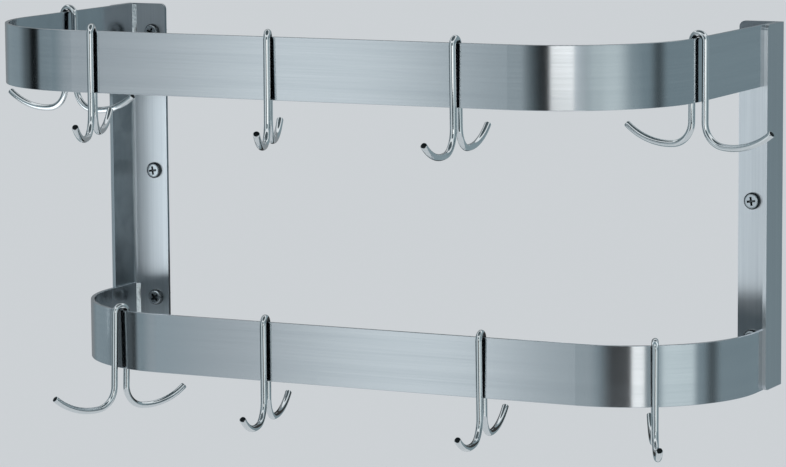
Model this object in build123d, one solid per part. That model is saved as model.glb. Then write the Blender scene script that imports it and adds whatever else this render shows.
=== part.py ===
from build123d import *
from math import cos, degrees, pi, sin
import os

# A wall rack of two bent flat bars between two angle brackets, with loose
# double hooks. All sizes are in millimetres. X runs along the wall, Y runs into
# the wall and Z runs up. The origin lies on the wall plane, in the middle of the
# four corner screws.

# Brackets, cut from equal angle
rack_width = 626.0
bracket_height = 304.8
angle_leg = 38.1
angle_thickness = 3.175
angle_root_radius = 3.5
angle_heel_radius = 0.6
angle_corner_radius = 5.0

# Bands, bent from flat bar
bar_height = 50.8
bar_thickness = 3.175
bar_edge_radius = 0.4
band_bend_radius = 114.3
upper_reach = 298.0
lower_reach = 165.1

# Weld beads between each band end and its bracket
bead_width = 2.6
bead_end_margin = 1.0
bead_root_setback = 0.6

# Screws, three to a bracket, in holes that leave room to find the wall's studs
screw_from_heel = 25.4
low_screw_height = 38.1
middle_screw_rise = 1.6
top_screw_margin = 25.4
screw_hole_radius = 4.3
screw_shank_radius = 3.1
screw_length = 25.4
screw_point_length = 6.0
screw_tip_radius = 0.4
screw_head_radius = 7.2
screw_head_height = 4.0
screw_head_round = 2.6
recess_span = 7.6
recess_width = 1.9
recess_depth = 2.8
recess_taper = 12.0

# Hooks, each bent from one round rod
rod_radius = 2.75
leg_half_spacing = 6.3
leg_bottom_drop = 66.6
prong_bend_radius = 18.8
prong_bend_angle = 84.0
arm_radius = 61.5
arm_angle = 45.0
rod_end_chamfer = 0.4
seat_clearance = 0.3

# Where the hooks sit: distance along the bar's outer face from the middle of the
# front, as a share of the rack's width, then turn about the upright axis, and
# lean of the outer prong downwards.
upper_hooks = (
    (-0.7105, -7.6, 0.7),
    (-0.2827, 18.6, 0.2),
    (-0.0227, 20.0, -1.0),
    (0.2407, 3.5, 1.5),
    (0.6034, -12.1, 0.2),
)
lower_hooks = (
    (-0.3789, -3.7, -1.6),
    (-0.1444, 11.4, -0.1),
    (0.1767, 7.7, 1.9),
    (0.4185, -8.0, 1.8),
)

# The bands lie against the insides of the brackets and stop at the root curve
band_half_width = rack_width / 2 - angle_thickness
band_back = -angle_thickness - angle_root_radius
middle_screw_height = bracket_height / 2 + middle_screw_rise
high_screw_height = bracket_height - top_screw_margin
bracket_bottom = -(low_screw_height + high_screw_height) / 2
upper_bar_top = bracket_bottom + bracket_height
lower_bar_top = bracket_bottom + bar_height


def round_fronted(half_width, reach, radius):
    """Plan outline from the bracket out to the front, with two round corners."""
    depth = reach + band_back
    outline = Pos(0, band_back - depth / 2) * Rectangle(2 * half_width, depth)
    front = outline.vertices().group_by(Axis.Y)[0]
    return fillet(front, radius)


def band(reach, top):
    """One flat bar bent twice into an open U, with eased edges."""
    outer = round_fronted(band_half_width, reach, band_bend_radius)
    inner = round_fronted(
        band_half_width - bar_thickness,
        reach - bar_thickness,
        band_bend_radius - bar_thickness,
    )
    bar = extrude(outer - inner, bar_height)
    rims = bar.edges().group_by(Axis.Z)
    bar = fillet(rims[0] + rims[-1], bar_edge_radius)
    return Pos(0, 0, top - bar_height) * bar


def bracket():
    """The right-hand angle: a wall leg with three holes and a forward leg."""
    heel = rack_width / 2
    wall_leg = Pos(heel - angle_leg / 2, -angle_thickness / 2) * Rectangle(angle_leg, angle_thickness)
    side_leg = Pos(heel - angle_thickness / 2, -angle_leg / 2) * Rectangle(angle_thickness, angle_leg)
    section = wall_leg + side_leg
    root_at = (heel - angle_thickness, -angle_thickness)
    root = section.vertices().sort_by_distance(root_at)[0]
    section = fillet(root, angle_root_radius)
    heel_corner = section.vertices().sort_by_distance((heel, 0))[0]
    section = fillet(heel_corner, angle_heel_radius)
    angle = extrude(section, bracket_height)
    wall_corners = angle.edges().filter_by(Axis.Y).group_by(Axis.X)[0]
    side_corners = angle.edges().filter_by(Axis.X).group_by(Axis.Y)[0]
    angle = fillet(wall_corners + side_corners, angle_corner_radius)
    for height in (low_screw_height, middle_screw_height, high_screw_height):
        hole = Rot(90, 0, 0) * Cylinder(screw_hole_radius, 4 * angle_thickness)
        angle -= Pos(heel - screw_from_heel, 0, height) * hole
    return Pos(0, 0, bracket_bottom) * angle


def weld_bead(top):
    """The right-hand bead from the band's end face to the wall leg."""
    outer_x = band_half_width
    inner_x = band_half_width - bar_thickness
    wall_y = -angle_thickness
    root_x = band_half_width - angle_root_radius
    section = make_face(
        Polyline(
            (outer_x - bead_root_setback, band_back),
            (inner_x, band_back),
            (inner_x - bead_width, wall_y),
            (root_x, wall_y),
            close=True,
        )
    )
    length = bar_height - 2 * bead_end_margin
    return Pos(0, 0, top - bar_height + bead_end_margin) * extrude(section, length)


def screw():
    """A cross-recessed pan-head screw, head forward, with its seat at the origin."""
    head = Cylinder(screw_head_radius, screw_head_height, align=(Align.CENTER, Align.CENTER, Align.MIN))
    head = fillet(head.edges().sort_by(Axis.Z)[-1], screw_head_round)
    slot = Rectangle(recess_span, recess_width)
    cross = slot + Rot(0, 0, 90) * slot
    head -= Pos(0, 0, screw_head_height) * extrude(cross, -recess_depth, taper=recess_taper)
    plain = screw_length - screw_point_length
    shank = Cylinder(screw_shank_radius, plain, align=(Align.CENTER, Align.CENTER, Align.MAX))
    point = Pos(0, 0, -plain) * Rot(180, 0, 0) * Cone(
        screw_shank_radius,
        screw_tip_radius,
        screw_point_length,
        align=(Align.CENTER, Align.CENTER, Align.MIN),
    )
    return Rot(90, 0, 0) * (head + shank + point)


def loop_centre_drop():
    """How far the loop's centre hangs below the bar top when the loop is seated."""
    edge_offset = bar_thickness / 2 - bar_edge_radius
    contact = leg_half_spacing - rod_radius - seat_clearance - bar_edge_radius
    return bar_edge_radius + (contact**2 - edge_offset**2) ** 0.5


def hook():
    """A rod looped over the bar, with a prong each way. Z = 0 is the bar top."""
    loop_drop = loop_centre_drop()
    crest = (0, leg_half_spacing - loop_drop)
    loop = JernArc(crest, (1, 0), leg_half_spacing, -90)
    leg = Line(loop @ 1, (leg_half_spacing, -leg_bottom_drop))
    bend = JernArc(leg @ 1, (0, -1), prong_bend_radius, prong_bend_angle)
    arm = JernArc(bend @ 1, bend % 1, arm_radius, arm_angle)
    path = Plane.XZ * Wire([loop, leg, bend, arm])
    section = Plane(origin=path @ 0, z_dir=path % 0) * Circle(rod_radius)
    half = sweep(section, path)
    tip = half.faces().filter_by(GeomType.PLANE).sort_by(Axis.X)[-1]
    half = chamfer(tip.edges(), rod_end_chamfer)
    return half + mirror(half, Plane.YZ)


def bar_station(reach, along):
    """Middle of the bar's thickness and its outward direction, in degrees."""
    half_flat = band_half_width - band_bend_radius
    corner_y = -(reach - band_bend_radius)
    corner_length = band_bend_radius * pi / 2
    run = abs(along)
    if run <= half_flat:
        x, y, turn = run, -reach, 0.0
    elif run <= half_flat + corner_length:
        turn = (run - half_flat) / band_bend_radius
        x = half_flat + band_bend_radius * sin(turn)
        y = corner_y - band_bend_radius * cos(turn)
    else:
        turn = pi / 2
        x, y = band_half_width, corner_y + run - half_flat - corner_length
    x -= sin(turn) * bar_thickness / 2
    y += cos(turn) * bar_thickness / 2
    side = 1 if along >= 0 else -1
    return side * x, y, -90 + side * degrees(turn)


def seated(hook_shape, reach, top, share, turn, lean):
    """The hook hung on a bar, leaning about the centre of its loop."""
    x, y, outward = bar_station(reach, share * rack_width)
    loop_drop = loop_centre_drop()
    leaning = Pos(0, 0, -loop_drop) * Rot(0, lean, 0) * Pos(0, 0, loop_drop) * hook_shape
    return Pos(x, y, top) * Rot(0, 0, outward + turn) * leaning


def save(shape, name):
    """Write one node as its own STEP file."""
    export_step(shape, "parts/" + name + ".step")


os.makedirs("parts", exist_ok=True)

save(band(upper_reach, upper_bar_top), "upper_band")
save(band(lower_reach, lower_bar_top), "lower_band")

right_bracket = bracket()
save(right_bracket, "right_bracket")
save(mirror(right_bracket, Plane.YZ), "left_bracket")

for level, top in (("upper", upper_bar_top), ("lower", lower_bar_top)):
    bead = weld_bead(top)
    save(bead, level + "_right_weld")
    save(mirror(bead, Plane.YZ), level + "_left_weld")

screw_shape = screw()
screw_x = rack_width / 2 - screw_from_heel
screw_heights = (("low", low_screw_height), ("middle", middle_screw_height), ("high", high_screw_height))
for side, x in (("left", -screw_x), ("right", screw_x)):
    for level, height in screw_heights:
        seat = Pos(x, -angle_thickness, bracket_bottom + height)
        save(seat * screw_shape, level + "_" + side + "_screw")

hook_shape = hook()
for number, place in enumerate(upper_hooks, start=1):
    save(seated(hook_shape, upper_reach, upper_bar_top, *place), f"upper_hook_{number}")
for number, place in enumerate(lower_hooks, start=1):
    save(seated(hook_shape, lower_reach, lower_bar_top, *place), f"lower_hook_{number}")
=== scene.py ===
import math

import bpy
from mathutils import Matrix


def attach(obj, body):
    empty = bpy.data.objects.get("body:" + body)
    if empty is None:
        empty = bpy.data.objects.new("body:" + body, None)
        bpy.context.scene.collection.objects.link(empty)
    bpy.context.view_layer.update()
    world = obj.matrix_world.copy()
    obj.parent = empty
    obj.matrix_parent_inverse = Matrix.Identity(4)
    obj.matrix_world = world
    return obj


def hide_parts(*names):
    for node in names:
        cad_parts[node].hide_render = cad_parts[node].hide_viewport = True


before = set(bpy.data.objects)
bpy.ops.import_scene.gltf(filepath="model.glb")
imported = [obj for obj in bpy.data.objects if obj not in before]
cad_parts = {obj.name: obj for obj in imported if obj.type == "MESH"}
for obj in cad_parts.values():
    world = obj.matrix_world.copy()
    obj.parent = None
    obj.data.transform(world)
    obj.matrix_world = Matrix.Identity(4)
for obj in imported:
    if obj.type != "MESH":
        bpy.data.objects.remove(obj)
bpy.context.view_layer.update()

# The rack's sizes are in millimetres until they go through MM. The finishes, the
# studio and the camera are in metres.
MM = 0.001

# The rack, as it was drawn
BAR_HEIGHT = 50.8
BAR_THICKNESS = 3.175
UPPER_REACH = 298.0
LOWER_REACH = 165.1
UPPER_BAR_TOP = 146.05
LOWER_BAR_TOP = -107.95
RACK_WIDTH = 626.0
ANGLE_THICKNESS = 3.175
BEND_RADIUS = 114.3

# The hooks' rod and its bends
ROD_RADIUS = 2.75
LEG_HALF_SPACING = 6.3
LOOP_CENTRE_DROP = 2.991
LEG_BOTTOM_DROP = 66.6
PRONG_BEND_RADIUS = 18.8
PRONG_BEND_ANGLE = math.radians(84.0)
ARM_RADIUS = 61.5
ARM_ANGLE = math.radians(45.0)
ROD_END_CHAMFER = 0.4

# A rod's side gets painted shade where it faces the bar, when it faces inwards by more than this
SHADED_SIDE_LEAN = 0.1

# Hook places: share of the rack's width along the bar, turn and lean in degrees
UPPER_HOOKS = (
    (-0.7105, -7.6, 0.7),
    (-0.2827, 18.6, 0.2),
    (-0.0227, 20.0, -1.0),
    (0.2407, 3.5, 1.5),
    (0.6034, -12.1, 0.2),
)
LOWER_HOOKS = (
    (-0.3789, -3.7, -1.6),
    (-0.1444, 11.4, -0.1),
    (0.1767, 7.7, 1.9),
    (0.4185, -8.0, 1.8),
)

# Screws: where their seats are, how far each was turned in, how much darker all over it is made,
# and their form
SCREW_X = 287.6
SCREW_HEIGHTS = {"low": -120.65, "middle": -4.75, "high": 120.65}
SCREW_TURNS = {"low": 38.0, "middle": 8.0, "high": -22.0}
SCREW_DARKENING = {"low": 0.35, "middle": 0.1, "high": 0.2}
HEAD_RADIUS = 7.2
HEAD_HEIGHT = 4.0
HEAD_ROUND = 2.6
RECESS_SPAN = 7.6
RECESS_WIDTH = 1.9
RECESS_DEPTH = 2.8
RECESS_DRAFT = math.radians(12.0)
PUNCH_PROUD = 1.0
SHANK_RADIUS = 3.1
CORE_RADIUS = 2.3
COLLAR_LENGTH = 5.0
COLLAR_SHOULDER = 0.8
SHANK_IN_HEAD = 1.0
SHANK_LENGTH = 19.4
POINT_LENGTH = 6.0
POINT_RADIUS = 0.4

# The thread: how deep its root lies in the core, how far its crest stays inside
# the collar's radius, and the gap left at each end
THREAD_TURNS = 5.5
THREAD_ROOT = 0.2
CREST_ROOM = 0.02
THREAD_GAP = 0.6

# Painted shade lies in the cross, from under its floor to just below the crown, and on
# the rim
UNDER_RECESS = 1.0
BELOW_CROWN = 0.05
RIM_WIDTH = 1.0
RECESS_SHADE = 0.8
RIM_SHADE = 0.85

# How finely the round shapes are made, how near points are merged, and the
# sharpest edge, in degrees, that is still shaded smooth
ROD_SIDES = 32
LOOP_STEPS = 16
PRONG_STEPS = 24
ARM_STEPS = 20
CHAMFER_STEPS = 2
HEAD_SIDES = 64
HEAD_ROUND_STEPS = 8
SHANK_SIDES = 32
THREAD_STEPS = 24
DOUBLES = 0.002
MIRROR_DOUBLES = 0.01
SMOOTH_UP_TO = 35

# The belt finish: lines and tones to the metre across the stock, how much they
# are drawn out along it, and how far the gloss differs from line to line
LINES_TO_METRE = 1000
TONES_TO_METRE = 160
DRAWN_OUT = 0.008
GLOSS_CHANGE = 0.015

# Where the painted shade on sides that face in starts and is full: how far a side faces in,
# times how far out it is
INNER_SHADE_STARTS = -0.1
INNER_SHADE_FULL = -0.28

# The brackets' front edges, past this line, are filed
DRESSED_LINE = -0.0378
FILED_ROUGHNESS = 0.3

# The studio: its floor and ceiling, the middle and the radius of the room, how
# far out the panels stand, and the height that parts what the upper bar shows
# from what the lower bar shows
FLOOR = -0.6
FLOOR_SIZE = 60.0
CEILING = 1.3
CEILING_RADIUS = 0.9
STUDIO_MIDDLE = -0.15
STUDIO_RADIUS = 1.75
STUDIO_SIDES = 64
PANEL_DISTANCE = 1.5
BETWEEN_BARS = -0.12

# The near cards' fronts and backs, and the boards behind the rack
CARD_FRONT = -0.15
CARD_BACK = -0.152
BOARD = 0.06

# Tints of the studio's cloths and panels
PLAIN_TINT = "#E9F1F6"
ROOM_TINT = "#DAF3FD"
CARD_TINT = "#EDF3F7"
LEFT_TINT = "#DDF1FA"
RIGHT_TINT = "#F2FDFF"
FILL_TINT = "#E9F7FD"
KEY_TINT = "#F6FCFF"
WARM_TINT = "#FFFDFB"

# How brightly the room glows, and how much light falls on dull surfaces
ROOM_LEVEL = 0.34
CEILING_LEVEL = 0.12
DAYLIGHT = 0.85

# The camera: its lens and sensor in millimetres, its place, and how far it is
# turned round the rack, tipped down and rolled
LENS = 168.39
SENSOR = 36.0
NEAREST_SEEN = 0.05
VIEW_PLACE = (1.3604, -2.87796, 0.3779)
VIEW_TURN = 0.4555
VIEW_FALL = 0.1329
VIEW_ROLL = -0.0065


# Small tools for the work

def deselect():
    bpy.ops.object.select_all(action="DESELECT")


def choose(piece):
    """Selects one piece alone and makes it the active one."""
    deselect()
    piece.select_set(True)
    bpy.context.view_layer.objects.active = piece


def named(name):
    """Names the piece just added and puts its place into its mesh."""
    piece = bpy.context.active_object
    piece.name = name
    piece.data.name = name
    bpy.ops.object.transform_apply(location=True, rotation=True, scale=True)
    return piece


def editing(piece, action):
    """Goes into edit mode with all of the mesh picked, or none of it."""
    choose(piece)
    bpy.ops.object.mode_set(mode="EDIT")
    bpy.ops.mesh.select_all(action=action)


def pick(piece, wanted):
    """Goes into edit mode with the vertices picked that pass a test."""
    editing(piece, "DESELECT")
    done_editing()
    for vertex in piece.data.vertices:
        vertex.select = wanted(vertex.co / MM)
    bpy.ops.object.mode_set(mode="EDIT")


def done_editing():
    bpy.ops.object.mode_set(mode="OBJECT")


def turn_profile(steps, angle, center, axis):
    """Spins the picked profile about an axis, right-handed."""
    bpy.ops.mesh.spin(steps=steps, angle=-angle, center=center, axis=axis)


def draw_out(rise):
    """Extrudes the picked profile straight up, or down where the rise is negative."""
    bpy.ops.mesh.extrude_region_move(TRANSFORM_OT_translate={"value": (0, 0, rise * MM)})


def narrow(across, along):
    """Scales the picked faces about the upright axis."""
    bpy.ops.transform.resize(value=(across, along, 1), center_override=(0, 0, 0))


def apply_modifier(piece, kind, **settings):
    choose(piece)
    modifier = piece.modifiers.new(kind.lower(), kind)
    for setting, value in settings.items():
        setattr(modifier, setting, value)
    bpy.ops.object.modifier_apply(modifier=modifier.name)


def carve(piece, tool, operation):
    """Adds one closed shape to a piece, or cuts it out, and clears it away."""
    apply_modifier(piece, "BOOLEAN", operation=operation, object=tool, solver="EXACT")
    bpy.data.objects.remove(tool)


def outward(piece):
    """Merges doubles and turns every face outwards."""
    editing(piece, "SELECT")
    bpy.ops.mesh.remove_doubles(threshold=DOUBLES * MM)
    bpy.ops.mesh.normals_make_consistent(inside=False)
    done_editing()


def smooth(piece):
    choose(piece)
    bpy.ops.object.shade_smooth_by_angle(angle=math.radians(SMOOTH_UP_TO))


def copied(piece, name, place):
    """A copy with its own mesh, moved to its place in the mesh itself."""
    twin = piece.copy()
    twin.data = piece.data.copy()
    twin.name = name
    twin.data.name = name
    twin.data.transform(place)
    bpy.context.scene.collection.objects.link(twin)
    return twin


# Materials

def linear(hex_colour):
    """An sRGB hex colour as linear red, green, blue and alpha."""
    channels = [int(hex_colour[i:i + 2], 16) / 255 for i in (1, 3, 5)]
    return [
        c / 12.92 if c <= 0.04045 else ((c + 0.055) / 1.055) ** 2.4 for c in channels
    ] + [1.0]


def node(tree, kind, inputs=(), **settings):
    """Adds a node with its settings, and sets or links its inputs."""
    made = tree.nodes.new(kind)
    for setting, value in settings.items():
        setattr(made, setting, value)
    for socket, value in dict(inputs).items():
        if isinstance(value, bpy.types.NodeSocket):
            tree.links.new(value, made.inputs[socket])
        else:
            made.inputs[socket].default_value = value
    return made


def blank(name):
    material = bpy.data.materials.new(name)
    material.use_nodes = True
    material.node_tree.nodes.clear()
    return material, material.node_tree


def belt_finished_steel(name, low, high, across, roughness, anisotropy, inside, dressed=None):
    """Stainless steel brushed with a belt: fine lines along the stock, seen as a
    soft silky sheen that smears every reflection across the lines. Sides that
    face in are darkened with painted shade, lightened in blotches. Where a dressed
    line is given, edges further forward are filed, and glow evenly; the left one
    is darkened with painted shade."""
    material, tree = blank(name)
    place = node(tree, "ShaderNodeTexCoord")
    # Grit lines are about 0.15 mm apart, too fine to show, so the drawn ones are
    # 1 mm apart, with wider bands of tone some 6 mm apart.
    fine = node(tree, "ShaderNodeMapping", {
        "Vector": place.outputs["Object"], "Scale": [LINES_TO_METRE * a for a in across],
    })
    wide = node(tree, "ShaderNodeMapping", {
        "Vector": place.outputs["Object"], "Scale": [TONES_TO_METRE * a for a in across],
    })
    lines = node(tree, "ShaderNodeTexNoise", {
        "Vector": fine.outputs[0], "Scale": 1.0, "Detail": 3.0, "Roughness": 0.6,
    })
    tones = node(tree, "ShaderNodeTexNoise", {
        "Vector": wide.outputs[0], "Scale": 1.0, "Detail": 2.0,
    })
    both = node(tree, "ShaderNodeMix", {
        0: 0.45, 2: lines.outputs[0], 3: tones.outputs[0],
    }, data_type="FLOAT")
    colour = node(tree, "ShaderNodeMapRange", {
        "Value": both.outputs[0], "From Min": 0.3, "From Max": 0.7,
    })
    tint = node(tree, "ShaderNodeMix", {
        0: colour.outputs[0], 6: linear(low), 7: linear(high),
    }, data_type="RGBA")
    gloss = node(tree, "ShaderNodeMapRange", {
        "Value": both.outputs[0], "From Min": 0.3, "From Max": 0.7,
        "To Min": roughness + GLOSS_CHANGE, "To Max": roughness - GLOSS_CHANGE,
    })
    # Painted shade on sides that face in, and blotches of some 20 mm that lighten it in places
    spot = node(tree, "ShaderNodeSeparateXYZ", {0: place.outputs["Object"]})
    facing = node(tree, "ShaderNodeSeparateXYZ", {0: place.outputs["Normal"]})
    faces_in_shade = node(tree, "ShaderNodeMath", {
        0: spot.outputs[0], 1: facing.outputs[0],
    }, operation="MULTIPLY")
    faces_in_shade = node(tree, "ShaderNodeMapRange", {
        "Value": faces_in_shade.outputs[0], "From Min": INNER_SHADE_STARTS, "From Max": INNER_SHADE_FULL,
    })
    shade_blotches = node(tree, "ShaderNodeTexNoise", {
        "Vector": place.outputs["Object"], "Scale": 45.0, "Detail": 3.0, "Distortion": 0.6,
    })
    shade_blotches = node(tree, "ShaderNodeMapRange", {
        "Value": shade_blotches.outputs[0], "From Min": 0.35, "From Max": 0.65, "To Min": 0.75,
    })
    shade = node(tree, "ShaderNodeMath", {
        0: faces_in_shade.outputs[0], 1: shade_blotches.outputs[0],
    }, operation="MULTIPLY")
    tint = node(tree, "ShaderNodeMix", {
        0: shade.outputs[0], 6: tint.outputs[2], 7: linear(inside),
    }, data_type="RGBA")
    if dressed is not None:
        filed = node(tree, "ShaderNodeMath", {
            0: spot.outputs[1], 1: dressed,
        }, operation="LESS_THAN")
        # The left bracket's filed front edge is darkened: painted shade.
        left = node(tree, "ShaderNodeMath", {0: spot.outputs[0], 1: 0.0}, operation="LESS_THAN")
        left_edge_shade = node(tree, "ShaderNodeMath", {
            0: filed.outputs[0], 1: left.outputs[0],
        }, operation="MULTIPLY")
        tint = node(tree, "ShaderNodeMix", {
            0: left_edge_shade.outputs[0], 6: tint.outputs[2], 7: linear("#747E83"),
        }, data_type="RGBA")
        gloss = node(tree, "ShaderNodeMix", {
            0: filed.outputs[0], 2: gloss.outputs[0], 3: FILED_ROUGHNESS,
        }, data_type="FLOAT")
    bump = node(tree, "ShaderNodeBump", {
        "Height": lines.outputs[0], "Strength": 0.12, "Distance": 0.03 * MM,
    })
    # The sheen smears across the lines: up and down on a bar, sideways on an angle.
    smear = node(tree, "ShaderNodeCombineXYZ", dict(enumerate(float(round(a)) for a in across)))
    shader = node(tree, "ShaderNodeBsdfPrincipled", {
        "Base Color": tint.outputs[2], "Metallic": 1.0, "Roughness": gloss.outputs[0],
        "Anisotropic": anisotropy, "Tangent": smear.outputs[0], "Normal": bump.outputs[0],
    })
    node(tree, "ShaderNodeOutputMaterial", {"Surface": shader.outputs[0]})
    return material


def bright_plated_rod():
    """Nickel-chrome plated wire: a clear bright mirror with faint clouds some
    4 mm across, painted shade on the side that faces the bar, and bare at its cut ends."""
    material, tree = blank("bright_plated_rod")
    place = node(tree, "ShaderNodeTexCoord")
    cloud = node(tree, "ShaderNodeTexNoise", {
        "Vector": place.outputs["Object"], "Scale": 220.0, "Detail": 3.0,
    })
    gloss = node(tree, "ShaderNodeMapRange", {
        "Value": cloud.outputs[0], "To Min": 0.05, "To Max": 0.12,
    })
    cut = node(tree, "ShaderNodeAttribute", attribute_name="cut_end")
    # The side of the rod that faces the bar is darkened: painted shade.
    shaded_side = node(tree, "ShaderNodeAttribute", attribute_name="painted_shade_side")
    tint = node(tree, "ShaderNodeMix", {
        0: shaded_side.outputs["Fac"], 6: linear("#E2E7E9"), 7: linear("#14181B"),
    }, data_type="RGBA")
    tint = node(tree, "ShaderNodeMix", {
        0: cut.outputs["Fac"], 6: tint.outputs[2], 7: linear("#262B2E"),
    }, data_type="RGBA")
    rough = node(tree, "ShaderNodeMix", {
        0: cut.outputs["Fac"], 2: gloss.outputs[0], 3: 0.5,
    }, data_type="FLOAT")
    shader = node(tree, "ShaderNodeBsdfPrincipled", {
        "Base Color": tint.outputs[2], "Metallic": 1.0, "Roughness": rough.outputs[0],
    })
    node(tree, "ShaderNodeOutputMaterial", {"Surface": shader.outputs[0]})
    return material


def plain_screw_steel():
    """Zinc-bright cold-headed steel: clearer than the plates on its crown, with
    spots about 1 mm apart, painted shade in the cross and round the rim, and some screws darker
    all over."""
    material, tree = blank("plain_screw_steel")
    place = node(tree, "ShaderNodeTexCoord")
    spots = node(tree, "ShaderNodeTexNoise", {
        "Vector": place.outputs["Object"], "Scale": 900.0, "Detail": 4.0,
    })
    gloss = node(tree, "ShaderNodeMapRange", {
        "Value": spots.outputs[0], "To Min": 0.16, "To Max": 0.36,
    })
    tint = node(tree, "ShaderNodeMix", {
        0: spots.outputs[0], 6: linear("#939CA2"), 7: linear("#C0C8CC"),
    }, data_type="RGBA")
    # Painted shade in the cross and round the rim, and each screw's darkening all over
    painted_shade_and_darkening = node(tree, "ShaderNodeAttribute", attribute_name="painted_shade_and_darkening")
    tint = node(tree, "ShaderNodeMix", {
        0: painted_shade_and_darkening.outputs["Fac"], 6: tint.outputs[2], 7: linear("#1D2225"),
    }, data_type="RGBA")
    shader = node(tree, "ShaderNodeBsdfPrincipled", {
        "Base Color": tint.outputs[2], "Metallic": 1.0, "Roughness": gloss.outputs[0],
    })
    node(tree, "ShaderNodeOutputMaterial", {"Surface": shader.outputs[0]})
    return material


def polished_weld():
    """Weld metal ground flush and buffed: small soft ripples some 4 mm long,
    brighter than the bar."""
    material, tree = blank("polished_weld")
    place = node(tree, "ShaderNodeTexCoord")
    ripple = node(tree, "ShaderNodeTexNoise", {
        "Vector": place.outputs["Object"], "Scale": 260.0, "Detail": 2.0,
    })
    bump = node(tree, "ShaderNodeBump", {
        "Height": ripple.outputs[0], "Strength": 0.5, "Distance": 0.3 * MM,
    })
    tint = node(tree, "ShaderNodeMix", {
        0: ripple.outputs[0], 6: linear("#D5DADD"), 7: linear("#EEF1F2"),
    }, data_type="RGBA")
    shader = node(tree, "ShaderNodeBsdfPrincipled", {
        "Base Color": tint.outputs[2], "Metallic": 1.0, "Roughness": 0.22,
        "Normal": bump.outputs[0],
    })
    node(tree, "ShaderNodeOutputMaterial", {"Surface": shader.outputs[0]})
    return material


# The inside colour is painted shade for the sides that face in.
bar_steel = belt_finished_steel(
    "belt_finished_bar", "#C2C9CE", "#CFD5D9", (DRAWN_OUT, DRAWN_OUT, 1.0),
    roughness=0.18, anisotropy=0.8, inside="#B4BBC0",
)
angle_steel = belt_finished_steel(
    "belt_finished_angle", "#C2C9CE", "#D2D8DC", (1.0, 1.0, DRAWN_OUT),
    roughness=0.3, anisotropy=1.0, inside="#8C969C", dressed=DRESSED_LINE,
)
rod_steel = bright_plated_rod()
screw_steel = plain_screw_steel()
weld_steel = polished_weld()

for steel, names in (
    (bar_steel, ("upper_band", "lower_band")),
    (angle_steel, ("left_bracket", "right_bracket")),
    (weld_steel, ("upper_left_weld", "upper_right_weld")),
    (weld_steel, ("lower_left_weld", "lower_right_weld")),
):
    for name in names:
        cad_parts[name].material_slots[0].material = steel


# Hooks

def bent_rod_hook():
    """One rod looped over the bar, bent down to two legs and out to two prongs.
    One half is bent, and the other is its mirror image."""
    deselect()
    bpy.ops.mesh.primitive_circle_add(
        vertices=ROD_SIDES, radius=ROD_RADIUS * MM, fill_type="NOTHING",
        location=(0, 0, (LEG_HALF_SPACING - LOOP_CENTRE_DROP) * MM),
        rotation=(0, math.pi / 2, 0),
    )
    hook = named("hook_pattern")
    editing(hook, "SELECT")
    turn_profile(LOOP_STEPS, math.pi / 2, (0, 0, -LOOP_CENTRE_DROP * MM), (0, 1, 0))
    # The leg has a seam at the bar's lower edge, where the painted shade on its inner side
    # stops.
    draw_out(-(BAR_HEIGHT - LOOP_CENTRE_DROP))
    draw_out(-(LEG_BOTTOM_DROP - BAR_HEIGHT))
    prong_x = LEG_HALF_SPACING + PRONG_BEND_RADIUS
    prong_middle = (prong_x * MM, 0, -LEG_BOTTOM_DROP * MM)
    turn_profile(PRONG_STEPS, PRONG_BEND_ANGLE, prong_middle, (0, -1, 0))
    shift = PRONG_BEND_RADIUS - ARM_RADIUS
    arm_x = prong_x - shift * math.cos(PRONG_BEND_ANGLE)
    arm_z = -LEG_BOTTOM_DROP - shift * math.sin(PRONG_BEND_ANGLE)
    turn_profile(ARM_STEPS, ARM_ANGLE, (arm_x * MM, 0, arm_z * MM), (0, -1, 0))
    bpy.ops.mesh.edge_face_add()
    bpy.ops.mesh.bevel(offset=ROD_END_CHAMFER * MM, segments=CHAMFER_STEPS, affect="EDGES")
    done_editing()
    apply_modifier(
        hook, "MIRROR", use_axis=(True, False, False), use_mirror_merge=True,
        merge_threshold=MIRROR_DOUBLES * MM,
    )
    outward(hook)
    smooth(hook)
    ends = hook.data.attributes.new("cut_end", "FLOAT", "FACE")
    shaded_side = hook.data.attributes.new("painted_shade_side", "FLOAT", "FACE")
    for face in hook.data.polygons:
        # Only the two cut ends have more than four corners.
        ends.data[face.index].value = float(len(face.vertices) > 4)
        # Painted shade on the faces that turn towards the bar, above its lower edge.
        facing_in = -face.normal.x * face.center.x > SHADED_SIDE_LEAN * abs(face.center.x)
        by_bar = face.center.z > -BAR_HEIGHT * MM
        shaded_side.data[face.index].value = float(facing_in and by_bar)
    hook.data.materials.append(rod_steel)
    return hook


def bar_place(reach, along):
    """Middle of the bar's thickness and its outward direction, as in the drawing."""
    half = RACK_WIDTH / 2 - ANGLE_THICKNESS
    flat = half - BEND_RADIUS
    corner = BEND_RADIUS * math.pi / 2
    run = abs(along)
    turn = min(max((run - flat) / BEND_RADIUS, 0.0), math.pi / 2)
    x = min(run, flat) + BEND_RADIUS * math.sin(turn)
    y = -(reach - BEND_RADIUS) - BEND_RADIUS * math.cos(turn) + max(run - flat - corner, 0.0)
    x -= math.sin(turn) * BAR_THICKNESS / 2
    y += math.cos(turn) * BAR_THICKNESS / 2
    side = 1 if along >= 0 else -1
    return side * x, y, -math.pi / 2 + side * turn


def hook_place(reach, top, share, turn, lean):
    """Hangs a hook on a bar, leaning about the middle of its loop."""
    x, y, out = bar_place(reach, share * RACK_WIDTH)
    lift = Matrix.Translation((0, 0, LOOP_CENTRE_DROP * MM))
    leaning = lift.inverted() @ Matrix.Rotation(math.radians(lean), 4, "Y") @ lift
    turned = Matrix.Rotation(out + math.radians(turn), 4, "Z")
    return Matrix.Translation((x * MM, y * MM, top * MM)) @ turned @ leaning


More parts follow.
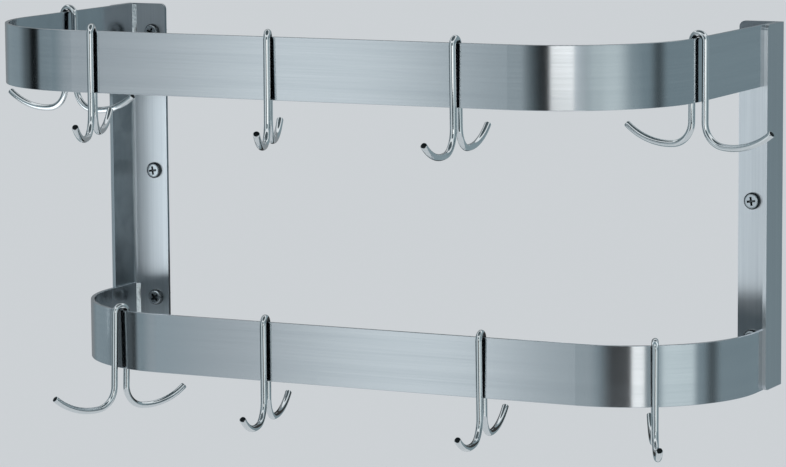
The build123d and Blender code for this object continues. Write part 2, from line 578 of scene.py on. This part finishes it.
pattern = bent_rod_hook()
for level, reach, top, places in (
    ("upper", UPPER_REACH, UPPER_BAR_TOP, UPPER_HOOKS),
    ("lower", LOWER_REACH, LOWER_BAR_TOP, LOWER_HOOKS),
):
    for number, place in enumerate(places, start=1):
        hook = copied(pattern, f"{level}_rod_hook_{number}", hook_place(reach, top, *place))
        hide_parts(f"{level}_hook_{number}")
        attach(hook, "root")
bpy.data.objects.remove(pattern)


# Screws, made upright with their seat at the origin

def cross_recess_punch(turn):
    """One bar of the cross, drafted towards its bottom."""
    middle = HEAD_HEIGHT - RECESS_DEPTH / 2
    bpy.ops.mesh.primitive_cube_add(size=1.0, location=(0, 0, middle * MM))
    punch = bpy.context.active_object
    punch.scale = (RECESS_SPAN * MM, RECESS_WIDTH * MM, RECESS_DEPTH * MM)
    named("punch")
    shrink = 2 * RECESS_DEPTH * math.tan(RECESS_DRAFT)
    pick(punch, lambda spot: spot.z < middle)
    narrow(1 - shrink / RECESS_SPAN, 1 - shrink / RECESS_WIDTH)
    done_editing()
    pick(punch, lambda spot: spot.z > middle)
    draw_out(PUNCH_PROUD)
    done_editing()
    punch.data.transform(Matrix.Rotation(turn, 4, "Z"))
    return punch


def thread_ridge():
    """A three-sided ridge wound down the core."""
    # A three-sided ring is 1.5 times its radius deep.
    size = (SHANK_RADIUS - CORE_RADIUS + THREAD_ROOT) / 1.5
    bpy.ops.mesh.primitive_circle_add(
        vertices=3, radius=size * MM, fill_type="NOTHING",
        location=(
            (SHANK_RADIUS - CREST_ROOM - size) * MM, 0, -(COLLAR_LENGTH + THREAD_GAP) * MM,
        ),
        rotation=(math.pi / 2, math.pi / 2, 0),
    )
    ridge = named("ridge")
    steps = round(THREAD_STEPS * THREAD_TURNS)
    apply_modifier(
        ridge, "SCREW", axis="Z", angle=2 * math.pi * THREAD_TURNS, steps=steps,
        render_steps=steps, use_smooth_shade=False,
        screw_offset=-(SHANK_LENGTH - COLLAR_LENGTH - 2 * THREAD_GAP) * MM,
    )
    editing(ridge, "SELECT")
    bpy.ops.mesh.fill_holes(sides=3)
    done_editing()
    outward(ridge)
    return ridge


def pan_head_screw():
    """A head with its rim rolled over and a cross punched in, on a pointed shank
    with a plain collar and a wound thread."""
    deselect()
    bpy.ops.mesh.primitive_cylinder_add(
        vertices=HEAD_SIDES, radius=HEAD_RADIUS * MM, depth=HEAD_HEIGHT * MM,
        location=(0, 0, HEAD_HEIGHT / 2 * MM),
    )
    screw = named("screw_pattern")
    pick(screw, lambda spot: spot.z > HEAD_HEIGHT / 2)
    bpy.ops.mesh.bevel(offset=HEAD_ROUND * MM, segments=HEAD_ROUND_STEPS, affect="EDGES")
    done_editing()
    for turn in (0.0, math.pi / 2):
        carve(screw, cross_recess_punch(turn), "DIFFERENCE")
    bpy.ops.mesh.primitive_cylinder_add(
        vertices=SHANK_SIDES, radius=SHANK_RADIUS * MM,
        depth=(COLLAR_LENGTH + SHANK_IN_HEAD) * MM,
        location=(0, 0, (SHANK_IN_HEAD - COLLAR_LENGTH) / 2 * MM),
    )
    shank = named("shank")
    pick(shank, lambda spot: spot.z < 0)
    for drop, radius, before in (
        (COLLAR_SHOULDER, CORE_RADIUS, SHANK_RADIUS),
        (SHANK_LENGTH - COLLAR_LENGTH - COLLAR_SHOULDER, CORE_RADIUS, CORE_RADIUS),
        (POINT_LENGTH, POINT_RADIUS, CORE_RADIUS),
    ):
        draw_out(-drop)
        narrow(radius / before, radius / before)
    done_editing()
    carve(shank, thread_ridge(), "UNION")
    carve(screw, shank, "UNION")
    outward(screw)
    smooth(screw)
    painted_shade_and_darkening = screw.data.attributes.new("painted_shade_and_darkening", "FLOAT", "FACE")
    # Painted shade in the cross and round the rim
    for face in screw.data.polygons:
        spot = face.center / MM
        out = math.hypot(spot.x, spot.y)
        sunken = UNDER_RECESS < spot.z < HEAD_HEIGHT - BELOW_CROWN
        if sunken and out < RECESS_SPAN / 2:
            painted_shade_and_darkening.data[face.index].value = RECESS_SHADE
        elif out > HEAD_RADIUS - RIM_WIDTH:
            painted_shade_and_darkening.data[face.index].value = RIM_SHADE
    screw.data.materials.append(screw_steel)
    return screw


pattern = pan_head_screw()
for side, x in (("left", -SCREW_X), ("right", SCREW_X)):
    for level, height in SCREW_HEIGHTS.items():
        seat = Matrix.Translation((x * MM, -ANGLE_THICKNESS * MM, height * MM))
        driven = Matrix.Rotation(math.radians(SCREW_TURNS[level]), 4, "Z")
        turned = Matrix.Rotation(math.pi / 2, 4, "X") @ driven
        screw = copied(pattern, f"{level}_{side}_pan_head_screw", seat @ turned)
        # Each screw is made darker all over by its own amount
        for painted_shade_and_darkening in screw.data.attributes["painted_shade_and_darkening"].data:
            painted_shade_and_darkening.value = max(painted_shade_and_darkening.value, SCREW_DARKENING[level])
        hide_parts(f"{level}_{side}_screw")
        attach(screw, "root")
bpy.data.objects.remove(pattern)


# Floor, light and camera

def pale_floor():
    material, tree = blank("pale_matte_floor")
    shader = node(tree, "ShaderNodeBsdfDiffuse", {"Color": linear("#E6E9EB")})
    node(tree, "ShaderNodeOutputMaterial", {"Surface": shader.outputs[0]})
    deselect()
    bpy.ops.mesh.primitive_plane_add(size=FLOOR_SIZE, location=(0, 0, FLOOR))
    floor = named("studio_floor")
    floor.data.materials.append(material)


def only_in_metal(card, material):
    """Shows a card to polished metal alone, as a reflection."""
    card.data.materials.append(material)
    card.visible_camera = False
    card.visible_diffuse = False
    card.visible_shadow = False


def glowing_cloth(name, level, colour):
    """Studio cloth that glows evenly: 1 is white, and 0 is black."""
    material, tree = blank(name)
    shader = node(tree, "ShaderNodeEmission", {"Color": linear(colour), "Strength": level})
    node(tree, "ShaderNodeOutputMaterial", {"Surface": shader.outputs[0]})
    return material


def panel(
    name, start, end, level, colour=PLAIN_TINT, edge=0.25,
    low=FLOOR, high=CEILING, distance=PANEL_DISTANCE,
):
    """An upright studio panel that only polished metal sees, with soft sides.
    Start and end are in degrees round the rack, from its front to the right, and
    edge is the share of the width over which each side fades."""
    material, tree = blank(name)
    place = node(tree, "ShaderNodeTexCoord")
    across = node(tree, "ShaderNodeSeparateXYZ", {0: place.outputs["UV"]})
    from_middle = node(tree, "ShaderNodeMath", {
        0: across.outputs[0], 1: 0.5,
    }, operation="SUBTRACT")
    from_middle = node(tree, "ShaderNodeMath", {0: from_middle.outputs[0]}, operation="ABSOLUTE")
    cover = node(tree, "ShaderNodeMapRange", {
        "Value": from_middle.outputs[0],
        "From Min": 0.5 - edge, "From Max": 0.5, "To Min": 1.0, "To Max": 0.0,
    }, interpolation_type="SMOOTHSTEP")
    glow = node(tree, "ShaderNodeEmission", {"Color": linear(colour), "Strength": level})
    clear = node(tree, "ShaderNodeBsdfTransparent")
    shader = node(tree, "ShaderNodeMixShader", {
        0: cover.outputs[0], 1: clear.outputs[0], 2: glow.outputs[0],
    })
    node(tree, "ShaderNodeOutputMaterial", {"Surface": shader.outputs[0]})
    deselect()
    angle = math.radians((start + end) / 2)
    x = distance * math.sin(angle)
    y = STUDIO_MIDDLE - distance * math.cos(angle)
    bpy.ops.mesh.primitive_plane_add(
        size=1.0, location=(x, y, (low + high) / 2), rotation=(math.pi / 2, 0, angle),
    )
    card = bpy.context.active_object
    width = 2 * distance * math.tan(math.radians(end - start) / 2)
    card.scale = (width, high - low, 1.0)
    only_in_metal(named(name), material)


def near_card(name, across, depth, upright, level, colour="#FFFFFF"):
    """A small card close to the rack, white or black, that only metal sees."""
    deselect()
    middle = (sum(across) / 2, depth, sum(upright) / 2)
    bpy.ops.mesh.primitive_plane_add(size=1.0, location=middle, rotation=(math.pi / 2, 0, 0))
    card = bpy.context.active_object
    card.scale = (across[1] - across[0], upright[1] - upright[0], 1.0)
    only_in_metal(named(name), glowing_cloth(name, level, colour))


def studio_round():
    """The dim room round the panels."""
    deselect()
    bpy.ops.mesh.primitive_cylinder_add(
        vertices=STUDIO_SIDES, radius=STUDIO_RADIUS, depth=CEILING - FLOOR,
        end_fill_type="NOTHING", location=(0, STUDIO_MIDDLE, (CEILING + FLOOR) / 2),
    )
    room = named("studio_round")
    only_in_metal(room, glowing_cloth("studio_round", ROOM_LEVEL, ROOM_TINT))


def dark_ceiling():
    """A dark cloth over the panels, seen in the tops of the hooks' loops."""
    deselect()
    bpy.ops.mesh.primitive_circle_add(
        vertices=STUDIO_SIDES, radius=CEILING_RADIUS, fill_type="NGON",
        location=(0, STUDIO_MIDDLE, CEILING),
    )
    ceiling = named("dark_ceiling")
    only_in_metal(ceiling, glowing_cloth("dark_ceiling", CEILING_LEVEL, ROOM_TINT))


def world_light():
    """Soft light from all round, and a pale backdrop where the world is seen,
    straight on, in metal or through glass."""
    world = bpy.data.worlds.new("studio_world")
    bpy.context.scene.world = world
    world.use_nodes = True
    tree = world.node_tree
    tree.nodes.clear()
    path = node(tree, "ShaderNodeLightPath")
    seen = node(tree, "ShaderNodeMath", {
        0: path.outputs["Is Camera Ray"], 1: path.outputs["Is Glossy Ray"],
    }, operation="MAXIMUM")
    seen = node(tree, "ShaderNodeMath", {
        0: seen.outputs[0], 1: path.outputs["Is Transmission Ray"],
    }, operation="MAXIMUM")
    light = node(tree, "ShaderNodeBackground", {
        "Color": linear("#F4F6F8"), "Strength": DAYLIGHT,
    })
    shown = node(tree, "ShaderNodeBackground", {"Color": linear("#EEF1F3"), "Strength": 1.0})
    mixed = node(tree, "ShaderNodeMixShader", {
        0: seen.outputs[0], 1: light.outputs[0], 2: shown.outputs[0],
    })
    node(tree, "ShaderNodeOutputWorld", {"Surface": mixed.outputs[0]})


def camera():
    """At the photograph's viewing angle: 26 degrees round to the right, 7.6 down."""
    lens = bpy.data.cameras.new("view")
    lens.lens = LENS
    lens.sensor_width = SENSOR
    lens.sensor_fit = "HORIZONTAL"
    lens.clip_start = NEAREST_SEEN
    viewer = bpy.data.objects.new("view", lens)
    turned = Matrix.Rotation(VIEW_TURN, 4, "Z")
    tipped = Matrix.Rotation(math.pi / 2 - VIEW_FALL, 4, "X")
    rolled = Matrix.Rotation(VIEW_ROLL, 4, "Z")
    viewer.matrix_world = Matrix.Translation(VIEW_PLACE) @ (turned @ tipped @ rolled)
    bpy.context.scene.collection.objects.link(viewer)
    bpy.context.scene.camera = viewer


camera()
pale_floor()
world_light()
studio_round()
dark_ceiling()

# Cards in front of the wall legs. The two large ones have backs that glow as the
# room does, so that the hooks' bends don't show them.
for name, across, upright, level in (
    ("left_bracket_card", (-0.43, -0.28), (-0.14, 0.054), 1.85),
    ("right_bracket_card", (0.13, 0.31), (-0.106, 0.088), 1.2),
):
    near_card(name, across, CARD_FRONT, upright, level, CARD_TINT)
    near_card(name + "_back", across, CARD_BACK, upright, ROOM_LEVEL, ROOM_TINT)
near_card("left_top_card", (-0.27, -0.1), CARD_FRONT, (0.095, 0.14), 0.5, CARD_TINT)

# Boards behind the rack, for the dark lines in the lower hooks' legs and bends
near_card("black_board", (-0.27, 0.25), BOARD, (-0.21, -0.09), 0.04)
near_card("grey_board", (-0.27, 0.25), BOARD, (-0.32, -0.21), 0.3, ROOM_TINT)

# Panels and flags, from the rear on the left round to the right. A nearer one
# hides what is behind it.
panel("rear_left_panel", -180, -112, 0.3)
panel("left_reflector", -125, -40, 0.4, LEFT_TINT, edge=0.2)
panel("left_flag_fade", -92, -62, 0.12, LEFT_TINT, edge=0.5, distance=1.46)
panel("left_black_flag", -77, -63.5, 0.0, edge=0.3, distance=1.45)
panel(
    "left_black_flag_low", -78, -55.5, 0.1, LEFT_TINT,
    edge=0.15, high=BETWEEN_BARS, distance=1.44,
)
panel("left_black_strip_low", -62.5, -55, 0.0, edge=0.4, high=BETWEEN_BARS, distance=1.43)
panel("key_halo", -53, -12, 0.6, edge=0.5, distance=1.45)
panel("key_softbox", -34, -12.8, 0.97, KEY_TINT, edge=0.45, distance=1.4)
panel(
    "left_fade_low", -42, -33.5, 0.47, LEFT_TINT,
    edge=0.35, high=BETWEEN_BARS, distance=1.39,
)
panel("front_fill", -22, 7, 0.48, FILL_TINT, edge=0.4, distance=1.55)
panel("front_fill_low", -21.5, -3, 0.49, FILL_TINT, edge=0.5, high=BETWEEN_BARS, distance=1.38)
panel("front_black_flag_high", -8, 34, 0.0, edge=0.5, low=BETWEEN_BARS)
panel("front_black_flag_low", 2, 50, 0.0, edge=0.36, high=BETWEEN_BARS)
panel("right_softbox_glow", 24, 47, 0.9, edge=0.5, low=-0.05, high=0.4, distance=1.45)
panel(
    "right_softbox_high", 17.5, 37.2, 1.75, WARM_TINT,
    edge=0.14, low=-0.05, high=0.4, distance=1.4,
)
panel("right_softbox_low", 33.2, 44.5, 1.5, WARM_TINT, edge=0.08, high=-0.17, distance=1.4)
panel("right_reflector_high", 36, 78, 0.76, RIGHT_TINT, edge=0.35, low=BETWEEN_BARS)
panel("right_reflector_low", 53, 86, 0.9, RIGHT_TINT, edge=0.2, high=BETWEEN_BARS)
panel("right_near_flag", 27, 46, 0.0, edge=0.2, low=-0.13, high=0.01, distance=0.6)
panel("right_black_flag", 88, 106, 0.1, ROOM_TINT, edge=0.5, distance=1.45)
bpy.context.scene.view_settings.view_transform = "Standard"
